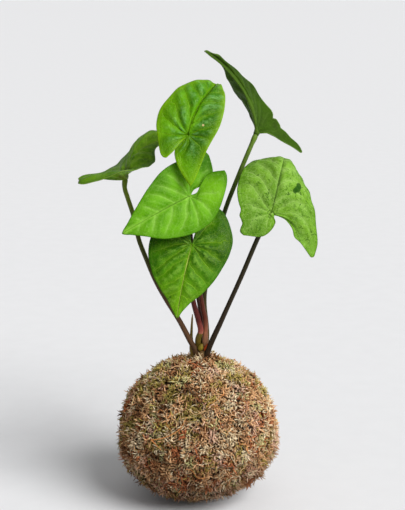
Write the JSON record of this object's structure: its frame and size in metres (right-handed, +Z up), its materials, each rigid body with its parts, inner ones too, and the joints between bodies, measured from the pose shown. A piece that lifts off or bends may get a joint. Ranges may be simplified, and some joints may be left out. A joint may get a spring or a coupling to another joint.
{
  "type": "kokedama moss ball plant",
  "caption": "Kokedama: an arrowhead plant with arrow-shaped leaves on long stalks, growing from a ball of soil wrapped in dry sheet moss.",
  "frame": {"origin": "middle of the small flat foot that the moss ball rests on", "axes": "+Z up; the side seen in the picture faces -Y; +X is to the right seen from there"},
  "size_m": [0.2, 0.14, 0.381],
  "materials": {
    "soil_ball": null,
    "moss_cover": "dry shaggy moss, tan with olive and rust patches",
    "binding_thread": "fine clear thread, mostly hidden in the moss",
    "crown_and_roots": "olive leaf sheaths on a pale root crown, satin",
    "stalk_upper": "smooth waxy stalk, red-brown at the foot",
    "stalk_highest": "smooth waxy stalk, olive at the foot and green above",
    "stalk_left": "smooth waxy stalk, brown at the foot and green above",
    "stalk_middle": "smooth waxy stalk, red-brown",
    "stalk_lowest": "smooth waxy stalk, wine red with a pink foot",
    "stalk_right": "smooth waxy stalk, dark brown",
    "leaf_upper": "glossy mid green with a lighter margin",
    "leaf_highest": "dull dark green underside",
    "leaf_left": "dark green, satin",
    "leaf_middle": "fresh yellow-green with pale veins",
    "leaf_lowest": "deep green between raised veins, lighter margin",
    "leaf_right": "pale mottled green with dark flecks"
  },
  "bodies": {
    "root": {"soil_ball": "soil_ball", "moss_cover": "moss_cover", "binding_thread": "binding_thread", "crown_and_roots": "crown_and_roots", "stalk_upper": "stalk_upper", "stalk_highest": "stalk_highest", "stalk_left": "stalk_left", "stalk_middle": "stalk_middle", "stalk_lowest": "stalk_lowest", "stalk_right": "stalk_right", "leaf_upper": "leaf_upper", "leaf_highest": "leaf_highest", "leaf_left": "leaf_left", "leaf_middle": "leaf_middle", "leaf_lowest": "leaf_lowest", "leaf_right": "leaf_right"}
  },
  "joints": []
}
